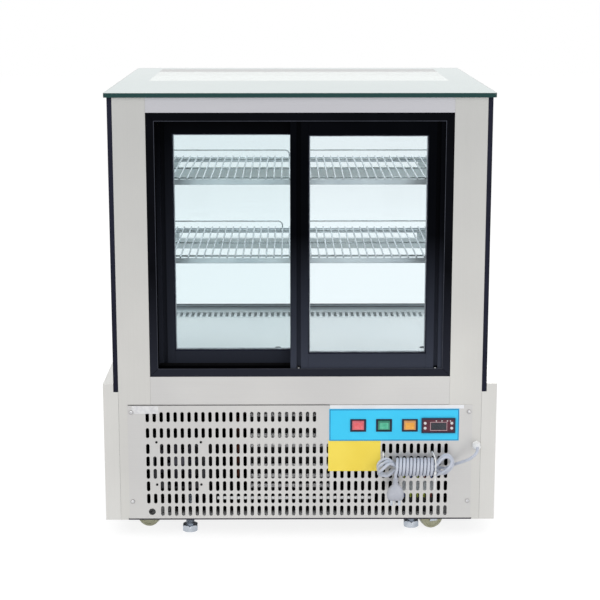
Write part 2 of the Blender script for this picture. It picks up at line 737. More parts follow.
def loop_strap(centre: Point, reach: Pair, section: Pair, sway: float, steps: int = 56) -> np.ndarray:
    """Works out a closed strap: a flat section carried round an ellipse that stands across X.

    Args:
        centre: Middle of the ellipse.
        reach: Half its size along Y and along Z.
        section: Width of the strap, along X, and its thickness.
        sway: How far its near side stands off along X.
        steps: Steps round the ellipse.

    Returns:
        Grid of steps round the ellipse by section points.
    """
    turn = turn_steps(steps)
    out = np.column_stack([np.cos(turn) / reach[0], np.sin(turn) / reach[1]])
    out /= np.linalg.norm(out, axis=1)[:, None]
    path = np.column_stack([
        centre[0] - sway * np.minimum(np.cos(turn), 0), centre[1] + reach[0] * np.cos(turn),
        centre[2] + reach[1] * np.sin(turn)])
    across = np.array([-1, 1, 1, -1]) * section[0] / 2
    depth = np.array([-1, -1, 1, 1]) * section[1] / 2
    grid = np.repeat(path[:, None], 4, 1)
    grid[..., 0] += across
    grid[..., 1:] += out[:, None] * depth[:, None]
    return grid


def through(points: np.ndarray, steps: int) -> np.ndarray:
    """Works out a smooth line through points: a Catmull-Rom cubic over each span.

    Args:
        points: Array of points by three.
        steps: Points on each span.

    Returns:
        Array of points by three.
    """
    ends = np.vstack([2 * points[0] - points[1], points, 2 * points[-1] - points[-2]])
    a, b, c, d = ends[:-3, None], ends[1:-2, None], ends[2:-1, None], ends[3:, None]
    t = np.linspace(0, 1, steps, endpoint=False)[None, :, None]
    line = b + (c - a) * t / 2 + (a - 2.5 * b + 2 * c - d / 2) * t**2 + (1.5 * (b - c) + (d - a) / 2) * t**3
    return np.vstack([line.reshape(-1, 3), points[-1:]])


@dataclass(frozen=True)
class Softbox:
    """A square lamp: its place, what it points at, the side of its face and its watts."""

    name: str
    place: Point
    target: Point
    side: float
    watts: float

    def hang(self) -> None:
        """Hangs the lamp, which looks straight down, and leans and turns it to its target."""
        data = bpy.data.lights.new(self.name, "AREA")
        data.size = self.side
        data.energy = self.watts
        lamp = add_object(self.name, data)
        back = np.array(self.place) - np.array(self.target)
        lean = math.atan2(math.hypot(back[0], back[1]), back[2])
        lamp.location = self.place
        lamp.rotation_euler = (lean, 0.0, math.atan2(back[0], -back[1]))


@dataclass
class Studio:
    """Camera at the photograph's place, a pale floor and plain soft light."""

    lens_mm: float = 89.31
    sensor_mm: float = 36.0
    camera_mm: Point = (-25.1, -3668.9, 1321.6)
    pitch_deg: float = 10.79
    yaw_deg: float = 0.433
    shift_up: float = -0.09
    world_light: float = 0.62
    floor_half: float = 14.0
    floor_paper: Colour = (0.82, 0.82, 0.82, 1.0)
    floor_shadow: Colour = (0.25, 0.25, 0.25, 1.0)
    floor_glow: float = 0.85
    clear_layers: int = 32
    lamps: tuple[Softbox, ...] = (
        Softbox("key softbox", (-2.2, -3.4, 3.2), (0.0, 0.0, 0.6), 2.4, 60.0),
        Softbox("fill softbox", (2.6, -3.0, 2.2), (0.0, 0.0, 0.5), 2.4, 38.0),
        Softbox("customer side softbox", (0.6, 3.4, 3.0), (0.0, 0.2, 0.6), 2.6, 55.0))

    def aim_camera(self) -> None:
        """Makes the camera and gives it the photograph's lens, place and frame."""
        data = bpy.data.cameras.new("photograph camera")
        data.lens = self.lens_mm
        data.sensor_width = self.sensor_mm
        data.shift_y = self.shift_up
        camera = add_object("photograph camera", data)
        camera.location = [v * MM for v in self.camera_mm]
        camera.rotation_euler = (math.radians(90 - self.pitch_deg), 0.0, math.radians(-self.yaw_deg))
        bpy.context.scene.camera = camera

    def build(self) -> None:
        """Sets the world, the floor and the lamps."""
        scene = bpy.context.scene
        scene.view_settings.view_transform = "Standard"
        scene.cycles.transparent_max_bounces = self.clear_layers
        self.light_world(scene)
        self.lay_floor()
        for lamp in self.lamps:
            lamp.hang()

    def seen_directly(self, tree: Tree) -> Socket:
        """Tells the rays that show the background: those from the camera, and mirrored or passed on.

        Args:
            tree: The tree that takes the nodes.

        Returns:
            One for camera, glossy and transmission rays, and zero for others.
        """
        path = add_node(tree, "ShaderNodeLightPath").outputs
        either = add_node(
            tree, "ShaderNodeMath", {"operation": "MAXIMUM"},
            {0: path["Is Camera Ray"], 1: path["Is Glossy Ray"]})
        return add_node(
            tree, "ShaderNodeMath", {"operation": "MAXIMUM"},
            {0: either.outputs["Value"], 1: path["Is Transmission Ray"]}).outputs["Value"]

    def light_world(self, scene: bpy.types.Scene) -> None:
        """Makes a white surround that lights the case at a plain level.

        Args:
            scene: The scene that takes the world.
        """
        world = bpy.data.worlds.new("white studio")
        world.use_nodes = True
        scene.world = world
        tree = world.node_tree
        tree.nodes.clear()
        light = add_node(tree, "ShaderNodeBackground", {"Color": WHITE, "Strength": self.world_light})
        white = add_node(tree, "ShaderNodeBackground", {"Color": WHITE, "Strength": 1.0})
        mix = add_node(
            tree, "ShaderNodeMixShader", None,
            {0: self.seen_directly(tree), 1: light.outputs["Background"], 2: white.outputs["Background"]})
        add_node(tree, "ShaderNodeOutputWorld", None, {"Surface": mix.outputs["Shader"]})

    def lay_floor(self) -> None:
        """Lays a white floor that keeps the case's shadow."""
        h = self.floor_half
        mesh = bpy.data.meshes.new("studio floor")
        mesh.from_pydata([(-h, -h, 0), (h, -h, 0), (h, h, 0), (-h, h, 0)], [], [(0, 1, 2, 3)])
        floor = add_object("studio_floor", mesh)
        material = blank_material("white paper floor")
        tree = material.node_tree
        paper = add_node(tree, "ShaderNodeBsdfDiffuse", {"Color": self.floor_paper})
        shade = add_node(tree, "ShaderNodeBsdfDiffuse", {"Color": self.floor_shadow})
        glow = add_node(tree, "ShaderNodeEmission", {"Color": WHITE, "Strength": self.floor_glow})
        lit = add_node(
            tree, "ShaderNodeAddShader", None, {0: shade.outputs["BSDF"], 1: glow.outputs["Emission"]})
        mix = add_node(
            tree, "ShaderNodeMixShader", None,
            {0: self.seen_directly(tree), 1: paper.outputs["BSDF"], 2: lit.outputs["Shader"]})
        add_node(tree, "ShaderNodeOutputMaterial", None, {"Surface": mix.outputs["Shader"]})
        mesh.materials.append(material)


@dataclass
class MainsLead:
    """Grey mains cord: from its gland to a hank of folded loops, wound round by its own end, with a plug.

    The route repeats the solid's: loops drawn in at the waist, a quarter swing onto the winding radius,
    a helix, and a short tail down to the plug.
    """

    cord_mm: float = 6.8
    length: float = 2.63
    hank_at_mm: Point = (263.0, -416.0, 186.0)
    loops: int = 3
    layer_mm: float = 7.3
    rise_mm: float = 3.6
    waist_mm: float = 41.0
    run_mm: float = 66.0
    end_mm: float = 19.0
    start_mm: float = 44.0
    left_fan_deg: float = 60.0
    right_fan_deg: float = 32.0
    right_spread_deg: float = 20.0
    right_lift_mm: float = 12.0
    wrap_start_mm: float = 43.0
    wrap_from_deg: float = 130.0
    wrap_lead_mm: float = 20.0
    wrap_mm: float = 18.2
    wrap_pitch_mm: float = 8.0
    turns: int = 12
    tail_mm: float = 19.0
    tail_swing_mm: float = 3.0
    tail_share: tuple[float, ...] = (0.25, 0.5, 0.75, 1.0)
    run_steps: int = 24
    bend_steps: int = 15
    swing_steps: int = 10
    wrap_steps: int = 24
    lead_steps: int = 6
    # Straight length before the hank, in diameters of the cord
    lead_in: float = 2.2
    route_mm: list[Point] = field(default_factory=lambda: [
        (334, -407, 180), (345, -409, 185), (355, -412, 191), (365, -419, 197), (375, -428, 204),
        (386, -436, 212), (396, -438, 221), (403, -430, 228)])
    # Share of the plug's height below the cord, with half its width and half its depth there
    plug_rows: tuple[Triple, ...] = (
        (0, 4.4, 4.4), (0.02, 5.6, 5.6), (0.07, 5.6, 5.6), (0.08, 4.8, 4.8), (0.13, 5.2, 5.2),
        (0.14, 6.2, 6.2), (0.19, 6.2, 6.2), (0.2, 5.4, 5.4), (0.25, 5.8, 5.8), (0.26, 7.0, 7.0),
        (0.31, 7.0, 7.0), (0.33, 7.4, 7.2), (0.4, 11.8, 8.6), (0.5, 16.0, 10.2), (0.6, 18.0, 11.1),
        (0.66, 18.2, 11.2), (0.68, 19.3, 11.9), (0.8, 19.4, 12.0), (0.9, 18.7, 11.6), (0.96, 17.0, 10.4),
        (1.0, 13.6, 8.0))
    plug_steps: int = 40
    neck_share: float = 0.35
    face_power: float = 3.2
    pin_mm: float = 15.0
    pin_span_mm: Pair = (2.0, 18.0)
    pin_edge_mm: float = 0.6
    # Place of each pin across the plug, with half its width and half its depth
    pins_mm: tuple[tuple[float, ...], ...] = ((-9, -4, 3.1, 0.9), (9, -4, 3.1, 0.9), (0, 4, 0.9, 3.1))
    gland_mm: float = 22.0
    gland_steps: int = 72
    nut_mm: tuple[Pair, ...] = (
        (0, -5.4), (8.5, -5.4), (8.9, -6.0), (8.9, -13.6), (8.2, -16.2), (6.4, -20.8), (4.8, -22.0),
        (0, -22.0))
    flutes: int = 12
    flute_mm: float = 0.3
    collar_flats_mm: float = 9.4
    collar_round_mm: float = 10.5
    # Share of the collar's hexagon, plain radius and level of each row
    collar_rows: tuple[Triple, ...] = (
        (0, 0, 6.0), (0, 4.8, 6.0), (0, 4.8, 0), (1, 0, 0), (1, 0, -5.0), (0.94, 0, -5.6), (0, 0, -5.6))
    tie_mm: Pair = (2.4, 0.8)
    # Side, middle, half sizes and sway of each strap
    straps_mm: tuple[tuple[str, Point, Pair, float], ...] = (
        ("left", (190.5, -400.0, 208.0), (10.5, 9.0), 0.0),
        ("right", (302.5, -413.0, 193.5), (25.5, 27.5), 6.0))
    tie_head_mm: Block = ((304.5, -440.2, 175.5), (309.5, -436.2, 180.5))
    tie_head_edge_mm: float = 0.8
    tie_end_mm: Block = ((305.8, -439.2, 139.0), (308.2, -438.4, 177.0))
    tie_end_edge_mm: float = 0.3

    def height(self, x: np.ndarray) -> np.ndarray:
        """Returns half the height of the loops at each x: a smooth step from the waist to the ends."""
        share = (abs(x) - self.waist_mm) / (self.run_mm - self.waist_mm)
        return self.rise_mm + (self.end_mm - self.rise_mm) * ease(share)

    def depth(self, turn: np.ndarray | float) -> np.ndarray | float:
        """Returns the depth of the loops, a layer for each turn, about the middle of the hank."""
        return self.layer_mm * (self.loops / 2 - turn)

    def half_turn(self) -> np.ndarray:
        """Returns the angles round a loop's end, from one of its runs to the other."""
        return np.radians(np.linspace(0, 180, self.bend_steps))

    def fold(self, k: int, first_x: float) -> np.ndarray:
        """Works out one loop of the hank without its right end.

        Args:
            k: Number of the loop.
            first_x: Where its lower run starts.

        Returns:
            Points of the lower run, the left end and the upper run.
        """
        x = np.linspace(first_x, -self.run_mm, self.run_steps)
        lower = np.column_stack([x, self.depth(k + (self.run_mm - x) / self.run_mm / 4), -self.height(x)])
        a = self.half_turn()[1:-1]
        left = np.column_stack([
            -self.run_mm - self.end_mm * np.sin(a), np.full_like(a, self.depth(k + 0.5)),
            -self.end_mm * np.cos(a)])
        x = np.linspace(-self.run_mm, self.run_mm, self.run_steps)
        upper = np.column_stack(
            [x, self.depth(k + 0.5 + (self.run_mm + x) / self.run_mm / 4), self.height(x)])
        return np.vstack([lower, left, upper])

    def on_wrap(self, x: np.ndarray, turn: np.ndarray) -> np.ndarray:
        """Returns points on the winding's cylinder, with the turn counted in radians from its top."""
        return np.column_stack([x, -self.wrap_mm * np.sin(turn), self.wrap_mm * np.cos(turn)])

    def fanned(self, points: np.ndarray) -> np.ndarray:
        """Swings the loops' ends out of line: each layer turns about its far edge, more the further out.

        Args:
            points: The loops as they were folded, flat on each other.

        Returns:
            The points with their ends spread.
        """
        x, y, z = points.T
        share = ease((abs(x) - self.waist_mm) / (self.run_mm + self.end_mm - self.waist_mm))
        layer = y / self.depth(0)
        right = x > 0
        swing = np.where(
            right, self.right_fan_deg - self.right_spread_deg * layer, self.left_fan_deg * (1 - layer) / 2)
        angle = np.radians(share * swing)
        hinge = np.where(right, self.end_mm, -self.end_mm)
        lift = np.where(right, self.right_lift_mm * share, 0)
        return np.column_stack(
            [x, y - abs(z - hinge) * np.sin(angle), hinge + (z - hinge) * np.cos(angle) + lift])

    def hank(self) -> np.ndarray:
        """Works out the centre line of the hank: its loops, the winding round them and the tail.

        Returns:
            Points in millimetres, from the lead to the plug.
        """
        a = self.half_turn()[1:-1]
        parts = []
        for k in range(self.loops):
            parts.append(self.fold(k, self.start_mm if k == 0 else self.run_mm))
            if k < self.loops - 1:
                parts.append(np.column_stack([
                    self.run_mm + self.end_mm * np.sin(a), np.full_like(a, self.depth(k + 1)),
                    self.end_mm * np.cos(a)]))
        first = math.radians(self.wrap_from_deg)
        onto = self.on_wrap(np.array([0.0]), np.array([first]))[0]
        reach = (self.end_mm - onto[2]) / 2
        back = self.half_turn()[1:]
        outer = self.depth(self.loops)
        parts.append(np.column_stack([
            self.run_mm + reach * np.sin(back), outer + (onto[1] - outer) * back / np.pi,
            self.end_mm - reach * (1 - np.cos(back))]))
        q = np.radians(np.linspace(0, 90, self.swing_steps))
        parts.append(self.on_wrap(
            self.wrap_start_mm + self.wrap_lead_mm * (1 - np.sin(q)),
            first + self.wrap_lead_mm * (1 - np.cos(q)) / self.wrap_mm))
        wound = first + self.wrap_lead_mm / self.wrap_mm
        last = FULL_TURN * (self.turns - 1) + np.pi / 2 - wound
        turn = np.linspace(0, last, self.wrap_steps * self.turns)[1:]
        wrap_x = self.wrap_start_mm - self.wrap_pitch_mm * turn / FULL_TURN
        parts.append(self.on_wrap(wrap_x, wound + turn))
        hung = self.fanned(np.vstack(parts))
        share = np.array(self.tail_share)
        drop = np.append(share * (self.tail_mm - self.cord_mm), self.tail_mm)
        swing = self.tail_swing_mm * ease(np.append(share, 1.0))
        tail = np.column_stack([hung[-1, 0] - swing, np.full_like(drop, -self.wrap_mm), -drop])
        return np.vstack([hung, tail]) + np.array(self.hank_at_mm)

    def lead(self, hank: np.ndarray) -> np.ndarray:
        """Works out the centre line from the gland to the hank.

        Args:
            hank: The hank's centre line.

        Returns:
            Points in millimetres, the last of them a little before the hank's first.
        """
        low, high = corners("cable_gland")
        gland = np.array([(low[0] + high[0]) / 2, low[1], (low[2] + high[2]) / 2]) / MM
        back = hank[0] - hank[1]
        out = hank[0] + back / np.linalg.norm(back) * self.lead_in * self.cord_mm
        points = np.vstack([gland, gland - [0, self.cord_mm, 0], self.route_mm[::-1], out])
        return through(points, self.lead_steps)

    def build(self) -> None:
        hank = self.hank()
        line = np.vstack([self.lead(hank), hank]) * MM
        curve = bpy.data.curves.new("mains_cord", "CURVE")
        curve.dimensions = "3D"
        curve.bevel_depth = self.cord_mm * MM / 2
        curve.bevel_resolution = 4
        curve.use_fill_caps = True
        spline = curve.splines.new("POLY")
        spline.points.add(len(line) - 1)
        spline.points.foreach_set("co", np.column_stack([line, np.ones(len(line))]).ravel())
        cord = add_object("mains_cord", curve)
        curve.materials.append(CORD_SHEATH.build())
        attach(cord, CASE)
        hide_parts("cord_lead", "cord_hank")
        plug = self.make_plug(line[-1])
        gland = self.make_gland(line[0])
        ties = self.make_ties()
        LOG.info("cord length %.3f m", np.linalg.norm(np.diff(line, axis=0), axis=1).sum())

    def make_plug(self, top: np.ndarray) -> Piece:
        """Makes the plug: rounded sections from a ribbed neck to a flared body, with flat pins.

        A section is a superellipse, whose power grows from a round neck's two to that of the face.

        Args:
            top: Where the cord enters the plug.

        Returns:
            The plug's body.
        """
        base = corners("plug")[0][2]
        drop = top[2] - base - self.pin_mm * MM
        share, wide, deep = np.array(self.plug_rows).T[..., None]
        power = 2 / np.interp(share, [0, self.neck_share, 1], [2.0, 2.0, self.face_power])
        turn = turn_steps(self.plug_steps)
        cos, sin = np.cos(turn), np.sin(turn)
        grid = np.stack(np.broadcast_arrays(
            wide * np.sign(cos) * abs(cos) ** power * MM, deep * np.sign(sin) * abs(sin) ** power * MM,
            -drop * share), -1)
        body = grid_piece("plug_body", top + grid, PLUG_GREY)
        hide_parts("plug")
        foot, crest = (base + v * MM for v in self.pin_span_mm)
        for i, row in enumerate(self.pins_mm):
            at, reach = np.array(row).reshape(2, 2) * MM
            at = at + top[:2]
            pin = rounded_box((*(at - reach), foot), (*(at + reach), crest), self.pin_edge_mm * MM, steps=2)
            grid_piece(f"plug_pin_{i + 1}", pin, ZINC).parent = body
        return body

    def make_gland(self, end: np.ndarray) -> Piece:
        """Makes the white gland: a hexagon collar, a fluted nut and a tapered throat.

        A flute is a cosine of the turn added to the nut's radius, and the collar's hexagon is cut back by
        a circle.

        Args:
            end: Middle of the gland's outer face.

        Returns:
            The gland's nut.
        """
        base = (end[0], end[1] + self.gland_mm * MM, end[2])
        radius, level = np.array(self.nut_mm).T
        flutes = self.flute_mm * np.cos(self.flutes * turn_steps(self.gland_steps))
        nut = carried_round(radius[:, None] + np.outer(radius > 0, flutes), level, base, Axis.Y)
        gland = grid_piece("gland_nut", nut, WHITE_NYLON)
        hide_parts("cable_gland")
        share, radius, level = np.array(self.collar_rows).T
        flats = np.minimum(hexagon(self.collar_flats_mm, self.gland_steps, 0.0), self.collar_round_mm)
        collar = carried_round(np.outer(share, flats) + radius[:, None], level, base, Axis.Y)
        grid_piece("gland_collar", collar, WHITE_NYLON).parent = gland
        return gland

    def make_ties(self) -> list[Piece]:
        """Makes the white ties that hold the hank to the slotted panel, through its slots.

        Returns:
            The tie pieces.
        """
        ties = [
            grid_piece(f"hank_tie_{side}", loop_strap(middle, reach, self.tie_mm, sway) * MM, WHITE_NYLON,
                       ring=True)
            for side, middle, reach, sway in self.straps_mm]
        head = rounded_box(*self.tie_head_mm, self.tie_head_edge_mm) * MM
        end = rounded_box(*self.tie_end_mm, self.tie_end_edge_mm, steps=2) * MM
        return ties + [
            grid_piece(name, grid, WHITE_NYLON)
            for name, grid in (("hank_tie_head", head), ("hank_tie_end", end))]


@dataclass
class GlassBox:
    """Fixed glass on the base: side, front and top units with their seals and the top's printed border.

    The panes don't bend light, so the print of the top's back face lies where a bent ray shows it.
    """

    edge_mm: float = 0.8
    window_mm: Area = (-364.0, -48.0, 364.0, 352.0)
    margin_mm: float = 1.2
    under_mm: float = 0.5
    print_mm: float = 0.12

    def build(self) -> None:
        """Dresses the panes and lays the printed border in the top glass."""
        dress(SIDE_PANE, "side_glass")
        dress(FRONT_PANE, "front_glass")
        dress(TOP_PANE, "top_glass")
        dress(PANE_SEAL, "glass_spacers")
        ease_edges(self.edge_mm, "top_glass")
        low, high = corners("top_glass")
        margin = self.margin_mm * MM
        level = high[2] - self.under_mm * MM
        window = np.array(self.window_mm).reshape(2, 2) * MM
        border = band((low[:2] + margin, high[:2] - margin), window, (level, level + self.print_mm * MM))
        grid_piece("top_print", border, GLASS_PRINT, ring=True, smooth=False)


@dataclass
class ServiceSide:
    """Stainless posts, lintel and sill round a black surround, with two sliding glazed doors.

    The bead's pair is how far it reaches out of the glass and into it, and the caps' place is counted
    from the sash's ends, rear and foot.
    """

    fold_mm: float = 0.7
    sash_edge_mm: float = 0.6
    bead_mm: Pair = (-8.0, 10.2)
    bead_thick_mm: float = 1.6
    cap_mm: Triple = (4.0, 2.0, 5.0)
    cap_at_mm: Triple = (18.75, 5.5, 6.0)
    cap_edge_mm: float = 0.8
    flange_mm: float = 19.0
    lip_mm: float = 1.3
    lip_levels_mm: Pair = (-0.25, 0.2)
    pile_mm: Block = ((-320.0, -363.0, 412.5), (320.0, -361.0, 418.5))
    pile_edge_mm: float = 0.4

    def build(self) -> None:
        """Dresses the frame and the doors and adds glazing beads, stile caps, a worn lip and a brush pile."""
        dress(STEEL_UPRIGHT, "rear_posts")
        dress(STEEL_ALONG, "lintel", "sill_panel")
        dress(POWDER_BLACK, "door_surround")
        dress(POWDER_LEFT, "left_door_frame")
        dress(POWDER_RIGHT, "right_door_frame")
        dress(MILL_ALUMINIUM, "door_tracks")
        dress(SPACER_ALUMINIUM, "left_door_spacer", "right_door_spacer")
        dress(LEFT_PANE, "left_door_glass")
        dress(RIGHT_PANE, "right_door_glass")
        ease_edges(self.fold_mm, "lintel", "sill_panel", "door_surround")
        ease_edges(self.sash_edge_mm, "left_door_frame", "right_door_frame")
        for side in ("left", "right"):
            self.bead_door(side)
        self.cap_stiles()
        low, high = corners("door_surround")
        flange = self.flange_mm * MM
        rim_piece("surround_lip", WORN_EDGE, low[FACE_AXES] + flange, high[FACE_AXES] - flange, low[1],
                  (self.lip_mm, 0.0), self.lip_levels_mm)
        pile = rounded_box(*self.pile_mm, self.pile_edge_mm, steps=2) * MM
        grid_piece("track_brush_pile", pile, PILE_BLACK)

    def bead_door(self, side: str) -> None:
        """Adds the rubber bead round a door's daylight, on both faces of its glass.

        Args:
            side: Left or right.
        """
        low, high = corners(f"{side}_door_glass")
        thick = self.bead_thick_mm
        for name, face, levels in (("service", low[1], (-thick, 0.0)), ("inside", high[1], (0.0, thick))):
            rim_piece(f"{side}_door_{name}_bead", EDGE_SILICONE, low[FACE_AXES], high[FACE_AXES], face,
                      self.bead_mm, levels, f"{side}_door")

    def cap_stiles(self) -> None:
        """Adds the pale nylon caps low in the right door's two grip channels."""
        low, high = corners("right_door_frame")
        size = np.array(self.cap_mm) * MM
        along, deep, up = (v * MM for v in self.cap_at_mm)
        for end, x in (("left", low[0] + along), ("right", high[0] - along)):
            base = np.array([x - size[0] / 2, low[1] + deep, low[2] + up])
            grid_piece(f"right_door_{end}_stile_cap", rounded_box(base, base + size, self.cap_edge_mm * MM),
                       WHITE_NYLON, "right_door")


@dataclass
class Shelving:
    """Two levels of wire racks on bars and uprights, light bars, the deck pans and the front air grille."""

    edge_mm: float = 1.0
    drain_mm: tuple[Pair, ...] = (
        (0, -3.0), (6.4, -3.0), (7.0, -0.4), (8.0, 0.0), (8.0, 0.5), (6.6, 0.5), (6.2, -1.6), (0, -1.8))
    drain_at_mm: tuple[tuple[str, Point], ...] = (
        ("left", (-53.0, -24.0, 366.0)), ("right", (313.0, -24.0, 366.0)))
    drain_steps: int = 32
    lips_mm: tuple[Pair, ...] = ((387.0, 388.4), (379.0, 380.6))
    lip_back_mm: Pair = (3.0, 1.0)
    lip_edge_mm: float = 0.5

    def build(self) -> None:
        """Dresses the shelves and the deck, and adds the drain strainers and the grille's dark lips."""
        dress(SHELF_BAR, "shelf_frames", "shelf_uprights")
        dress(CHROME_WIRE, "upper_racks", "lower_racks")
        dress(OPAL, "light_bars")
        dress(DECK_ENAMEL, "deck_pans")
        dress(GRILLE_ENAMEL, "air_grille")
        dress(LINER_PLASTIC, "insulated_deck")
        ease_edges(self.edge_mm, "deck_pans", "shelf_frames")
        for name, place in self.drain_at_mm:
            strainer = turned(self.drain_mm, np.array(place) * MM, Axis.Z, self.drain_steps)
            grid_piece(f"deck_drain_{name}", strainer, DRAIN_SHADE)
        low, high = corners("air_grille")
        near, far = (high[1] - v * MM for v in self.lip_back_mm)
        for i, (foot, crest) in enumerate(self.lips_mm):
            lip = rounded_box((low[0], near, foot * MM), (high[0], far, crest * MM),
                              self.lip_edge_mm * MM, steps=2)
            grid_piece(f"grille_lip_{i + 1}", lip, EDGE_SILICONE)


@dataclass
class ControlPanel:
    """Blue control plate with three rocker switches and a temperature controller.

    The pair of a rim, frame or outline is how far it reaches out of its rectangle and into it, and its
    levels are counted from the face behind it.
    """

    plate_edge_mm: float = 0.5
    bezel_edge_mm: float = 0.8
    rocker_edge_mm: float = 0.5
    rim_mm: Pair = (-0.9, 2.8)
    rim_levels_mm: Pair = (-0.05, 0.2)
    window_mm: Pair = (20.0, 15.5)
    window_steps: tuple[int, int] = (9, 11)
    window_skin_mm: Pair = (-0.35, 0.5)
    rocker_axle_mm: float = -391.0
    # Level of the dish's rim from the rocker's axle, its fall to the middle, and half its height
    dish_mm: Triple = (-6.8, 1.2, 12.0)
    lean_deg: float = 8.0
    keys: tuple[str, ...] = ("upper_left", "lower_left", "upper_right", "lower_right")
    key_cap_mm: tuple[Pair, ...] = (
        (0, 0.3), (2.3, 0.3), (2.3, -0.12), (3.4, -0.12), (3.0, -0.7), (1.6, -1.0), (0, -1.1))
    key_steps: int = 28
    frame_mm: Pair = (0.2, 3.2)
    frame_levels_mm: Pair = (-0.7, 1.2)
    display_half_mm: Pair = (17.2, 8.2)
    display_at_mm: Pair = (0.6, -1.8)
    display_levels_mm: Pair = (-0.3, 0.4)
    display_edge_mm: float = 0.3
    outline_mm: Pair = (2.1, -1.1)
    outline_levels_mm: Pair = (-0.2, 0.3)
    lamp_mm: tuple[Pair, ...] = ((0, 0.3), (1.5, 0.3), (1.5, 0), (1.1, -0.35), (0, -0.45))
    lamp_x_mm: tuple[float, ...] = (-5.0, 8.0, 20.6, 27.4)
    lamp_up_mm: float = 11.0
    lamp_steps: int = 16

    def build(self) -> None:
        """Dresses the plate and its switches and adds the printed rim, lamp windows and display."""
        dress(FILM_BLUE, "control_plate")
        dress(BEZEL_NAVY, "switch_bezels")
        dress(CONTROLLER_MAROON, "controller")
        dress(KEY_GREY, *(f"key_{name}" for name in self.keys))
        ease_edges(self.plate_edge_mm, "control_plate")
        ease_edges(self.bezel_edge_mm, "switch_bezels")
        for colour, lens, window in (("red", LENS_RED, WINDOW_RED), ("green", LENS_GREEN, WINDOW_GREEN),
                                     ("amber", LENS_AMBER, WINDOW_AMBER)):
            dress(lens, f"{colour}_rocker")
            ease_edges(self.rocker_edge_mm, f"{colour}_rocker")
            self.glaze_rocker(colour, window)
        low, high = corners("control_plate")
        rim_piece("plate_rim", FILM_RIM, low[FACE_AXES], high[FACE_AXES], low[1], self.rim_mm,
                  self.rim_levels_mm)
        self.face_controller()

    def glaze_rocker(self, colour: str, finish: Finish) -> None:
        """Lays a lamp window over a rocker's dished face, a thin skin that follows the dish.

        The window's height above the chord of the dish falls in two straight slopes to its middle, and
        the whole leans as the rocker does at rest.

        Args:
            colour: Which rocker.
            finish: What the window is made of.
        """
        low, high = corners(f"{colour}_rocker")
        middle = np.array([(low[0] + high[0]) / 2, self.rocker_axle_mm * MM, (low[2] + high[2]) / 2])
        columns, rows = self.window_steps
        across = np.linspace(-0.5, 0.5, columns) * self.window_mm[0]
        along = (np.linspace(-0.5, 0.5, rows) * self.window_mm[1])[:, None]
        rim, fall, half = self.dish_mm
        depth = rim + fall * (1 - abs(along) / half) + np.repeat(self.window_skin_mm, columns)
        cos, sin = math.cos(math.radians(self.lean_deg)), math.sin(math.radians(self.lean_deg))
        skin = np.stack(np.broadcast_arrays(
            np.concatenate([across, across[::-1]]), depth * cos - along * sin, depth * sin + along * cos), -1)
        grid_piece(f"{colour}_lamp_window", middle + skin * MM, finish, f"{colour}_switch")

    def face_controller(self) -> None:
        """Adds the controller's raised frame, its display with a pale outline, small lamps and key caps."""
        low, high = corners("controller")
        face, flat_low, flat_high = low[1], low[FACE_AXES], high[FACE_AXES]
        middle = (flat_low + flat_high) / 2
        rim_piece("controller_frame", CONTROLLER_FRAME, flat_low, flat_high, face, self.frame_mm,
                  self.frame_levels_mm)
        half = np.array(self.display_half_mm) * MM
        centre = middle + np.array(self.display_at_mm) * MM
        shown_low, shown_high = centre - half, centre + half
        near, far = (face + v * MM for v in self.display_levels_mm)
        shown = rounded_box((shown_low[0], near, shown_low[1]), (shown_high[0], far, shown_high[1]),
                            self.display_edge_mm * MM, steps=2)
        grid_piece("controller_display", shown, DISPLAY_GREY)
        rim_piece("controller_outline", PRINT_WHITE, shown_low, shown_high, face, self.outline_mm,
                  self.outline_levels_mm)
        for i, x_mm in enumerate(self.lamp_x_mm):
            spot = (middle[0] + x_mm * MM, face, middle[1] + self.lamp_up_mm * MM)
            lamp = turned(self.lamp_mm, spot, Axis.Y, self.lamp_steps)
            grid_piece(f"controller_lamp_{i + 1}", lamp, KEY_GREY)
        for name in self.keys:
            key_low, key_high = corners(f"key_{name}")
            key = (key_low + key_high) / 2
            cap = turned(self.key_cap_mm, (key[0], key_low[1], key[2]), Axis.Y, self.key_steps)
            grid_piece(f"key_cap_{name}", cap, KEY_GREY, f"button_{name}")


@dataclass(frozen=True)
class Film:
    """A thin strip on the slotted panel: its left, low, right and high edge, its thickness and finish."""

    name: str
    area_mm: Area
    thick_mm: float
    finish: Finish
    sunk_mm: float = 0.02
    edge_mm: float = 0.15

    def stick(self, face: float) -> None:
        """Lays the strip on the panel.

        Args:
            face: Where the panel's outer face stands along Y.
        """
        left, low, right, high = (v * MM for v in self.area_mm)
        strip = rounded_box((left, face - self.thick_mm * MM, low), (right, face + self.sunk_mm * MM, high),
                            self.edge_mm * MM, steps=2)
        grid_piece(self.name, strip, self.finish, smooth=False)


